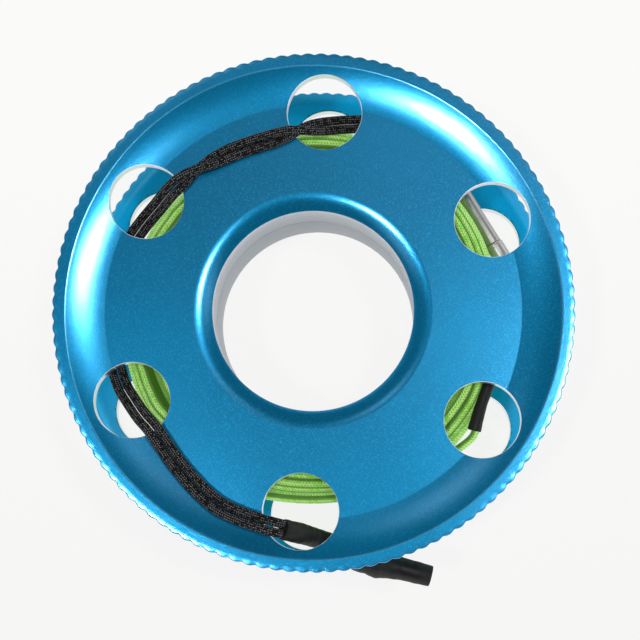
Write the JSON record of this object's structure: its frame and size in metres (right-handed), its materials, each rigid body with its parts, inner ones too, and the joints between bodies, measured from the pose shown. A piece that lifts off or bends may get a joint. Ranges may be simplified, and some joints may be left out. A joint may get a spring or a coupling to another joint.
{
  "type": "dive spool",
  "caption": "Finger spool for diving line: dished blue flanges with round holes on a white hub, wound with green line, with a swivel on the line and a laced black elastic cord",
  "frame": {"origin": "Centre of the rear rim's resting plane, on the spool's axis: the middle of the bottom of the box round the spool without its elastic cord.", "axes": "+Z along the spool's axis, from the rear flange to the front flange that the picture shows. +Y is up in the picture and +X is right in it."},
  "size_m": [0.105, 0.1076, 0.0374],
  "materials": {
    "blue_anodised": "satin anodised, knurled rim",
    "white_acetal": "turned, semi-matt",
    "green_line": "braided, fluorescent green",
    "black_sleeve": "shrunk tubing, satin",
    "satin_steel": "satin",
    "black_elastic": "braided over elastic"
  },
  "bodies": {
    "spool": {"front_flange": "blue_anodised", "rear_flange": "blue_anodised", "hub_barrel": "white_acetal", "hub_retainer": "white_acetal", "line_anchor_knot": "green_line", "line_core": "green_line", "line_outer_turns": "green_line", "line_end_loop": "green_line", "line_end_sleeve": "black_sleeve", "swivel_line_eye": "satin_steel", "swivel_cord_eye": "satin_steel", "bungee_cord": "black_elastic", "bungee_knot": "black_elastic", "bungee_sleeve": "black_sleeve"},
    "barrel": {"swivel_barrel": "satin_steel"}
  },
  "joints": [
    {"name": "swivel_turn", "type": "hinge", "parent": "spool", "child": "barrel", "pos_m": [0.03722, 0.01621, 0.018], "axis": [0.5081, -0.8613, 0], "continuous": true}
  ]
}
